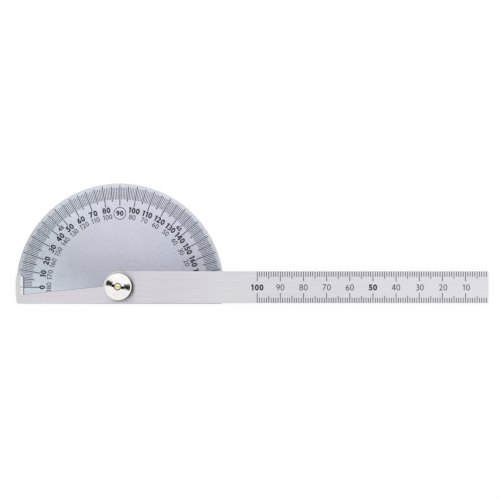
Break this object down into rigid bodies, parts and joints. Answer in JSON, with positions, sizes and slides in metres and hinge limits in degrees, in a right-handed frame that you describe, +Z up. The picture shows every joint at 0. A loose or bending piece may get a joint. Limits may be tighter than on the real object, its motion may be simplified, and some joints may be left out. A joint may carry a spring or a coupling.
{
  "type": "protractor",
  "caption": "Flat semicircular protractor plate with a long swinging rule, index tab and knurled clamp nut on its pivot.",
  "frame": {"origin": "on the pivot axis, in the flat back that lies on the table", "axes": "+X from the pivot along the rule to its end, +Y to the 90 degree mark, +Z up through the clamp nut; the rule stands at reading 0"},
  "size_m": [0.2045, 0.0522, 0.0071],
  "materials": {
    "plate_steel": "satin stainless steel with etched black graduations",
    "rule_steel": "stainless steel, fine brushing along the rule, etched black graduations",
    "stud_brass": "turned bright brass",
    "washer_steel": "spring steel",
    "nut_plating": "bright nickel plate over turned brass"
  },
  "bodies": {
    "plate": {"protractor_plate": "plate_steel", "pivot_stud": "stud_brass"},
    "rule": {"rule_arm": "rule_steel"},
    "washer": {"spring_washer": "washer_steel"},
    "nut": {"clamp_nut": "nut_plating"}
  },
  "joints": [
    {"name": "arm_swing", "type": "hinge", "parent": "plate", "child": "rule", "pos_m": [0, 0, 0.00155], "axis": [0, 0, -1], "continuous": true},
    {"name": "washer_lift", "type": "slide", "parent": "plate", "child": "washer", "axis": [0, 0, 1], "range_m": [0, 0.0005]},
    {"name": "nut_turn", "type": "hinge", "parent": "washer", "child": "nut", "pos_m": [0, 0, 0.00235], "axis": [0, 0, 1], "range_deg": [0, 360]}
  ],
  "couplings": [
    {"joint": "nut_turn", "follows": "washer_lift", "rad_per_m": 12566}
  ]
}
